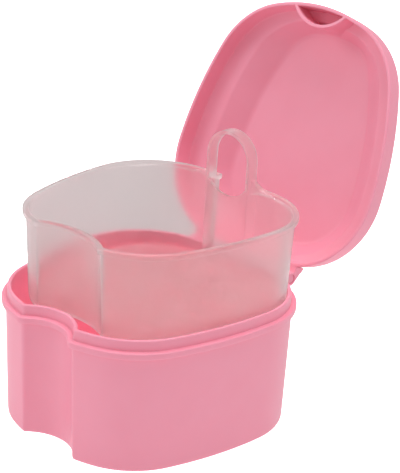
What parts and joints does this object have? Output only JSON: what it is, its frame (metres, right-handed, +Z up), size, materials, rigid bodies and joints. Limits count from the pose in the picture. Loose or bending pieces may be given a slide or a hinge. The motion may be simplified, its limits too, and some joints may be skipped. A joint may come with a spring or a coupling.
{
  "type": "denture case",
  "caption": "Cup-shaped case with a thumb notch, a domed lid on a rear hinge, and a frosted drain basket lifted by an arched handle.",
  "frame": {"origin": "on the flat underside of the case, on its plane of symmetry, below the centre of its plan", "axes": "+Z up; -Y to the front with the thumb notch; +Y to the hinge; the case, the lid and the hinge are symmetric about X = 0"},
  "size_m": [0.088, 0.1334, 0.1261],
  "materials": {
    "case": "pink moulded polypropylene, satin",
    "lid": "pink moulded polypropylene, satin",
    "basket": "natural frosted polypropylene, translucent"
  },
  "bodies": {
    "case": {"case_body": "case"},
    "lid": {"lid": "lid"},
    "basket": {"basket": "basket"}
  },
  "joints": [
    {"name": "lid_hinge", "type": "hinge", "parent": "case", "child": "lid", "pos_m": [0, 0.04408, 0.04132], "axis": [1, 0, 0], "range_deg": [0, 111.1]},
    {"name": "basket_lift", "type": "slide", "parent": "case", "child": "basket", "axis": [0.0546, 0.0505, 0.9972], "range_m": [-0.0386, 0]}
  ],
  "couplings": [
    {"joint": "basket_lift", "follows": "lid_hinge", "m_per_rad": -0.019884}
  ]
}
